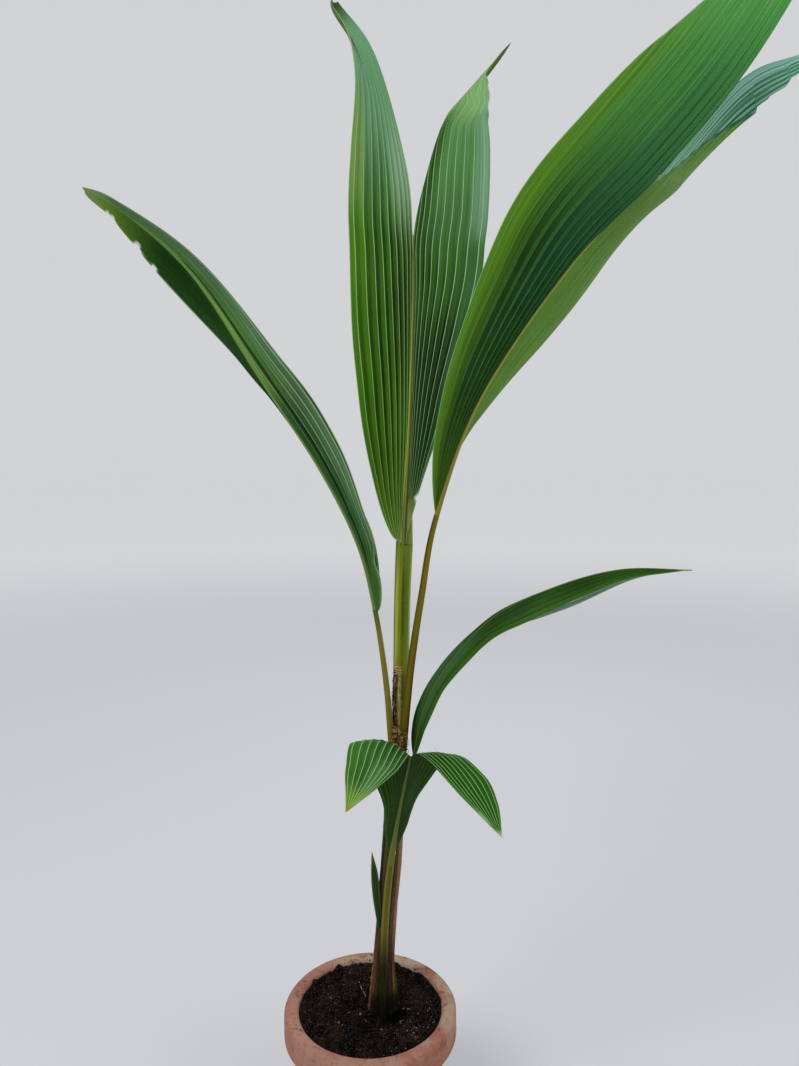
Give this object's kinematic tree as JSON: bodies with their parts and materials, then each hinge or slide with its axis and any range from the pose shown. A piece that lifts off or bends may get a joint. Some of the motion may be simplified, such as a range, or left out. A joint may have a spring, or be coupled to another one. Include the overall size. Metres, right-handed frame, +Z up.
{
  "type": "potted coconut palm seedling",
  "caption": "Young coconut palm in a terracotta pot: a leaning sheathed stem with long stalks and pleated, fork-tipped leaves.",
  "frame": {"origin": "centre of the pot's flat underside", "axes": "+Z up along the pot's axis, -Y towards the front of the plant, +X to its right seen from the front"},
  "size_m": [0.9084, 0.6331, 1.8749],
  "materials": {
    "terracotta": "matte unglazed, with pale mineral stains",
    "soil": "dark crumbly potting soil",
    "stem": "brown fibrous sheath with green stripes",
    "stalk": "smooth satin olive green",
    "leaf": "pleated green with pale veins, waxy sheen",
    "fibre": "frayed brown fibre"
  },
  "bodies": {
    "root": {"pot": "terracotta", "soil": "soil", "stem": "stem", "foot_scale": "stalk", "spike_leaf": "leaf", "sheath_fibre": "fibre", "centre_stalk": "stalk", "centre_rib": "stalk", "centre_left_blade": "leaf", "centre_right_blade": "leaf", "leaning_stalk": "stalk", "leaning_rib": "stalk", "leaning_left_blade": "leaf", "leaning_right_blade": "leaf", "left_stalk": "stalk", "left_rib": "stalk", "left_near_blade": "leaf", "left_far_blade": "leaf", "arching_stalk": "stalk", "arching_rib": "stalk", "arching_rib_tip": "stalk", "arching_near_blade": "leaf", "arching_near_tip": "leaf", "arching_far_blade": "leaf", "arching_far_tip": "leaf", "front_stalk": "stalk", "front_rib": "stalk", "front_left_blade": "leaf", "front_left_tip": "leaf", "front_right_blade": "leaf", "front_right_tip": "leaf"}
  },
  "joints": []
}
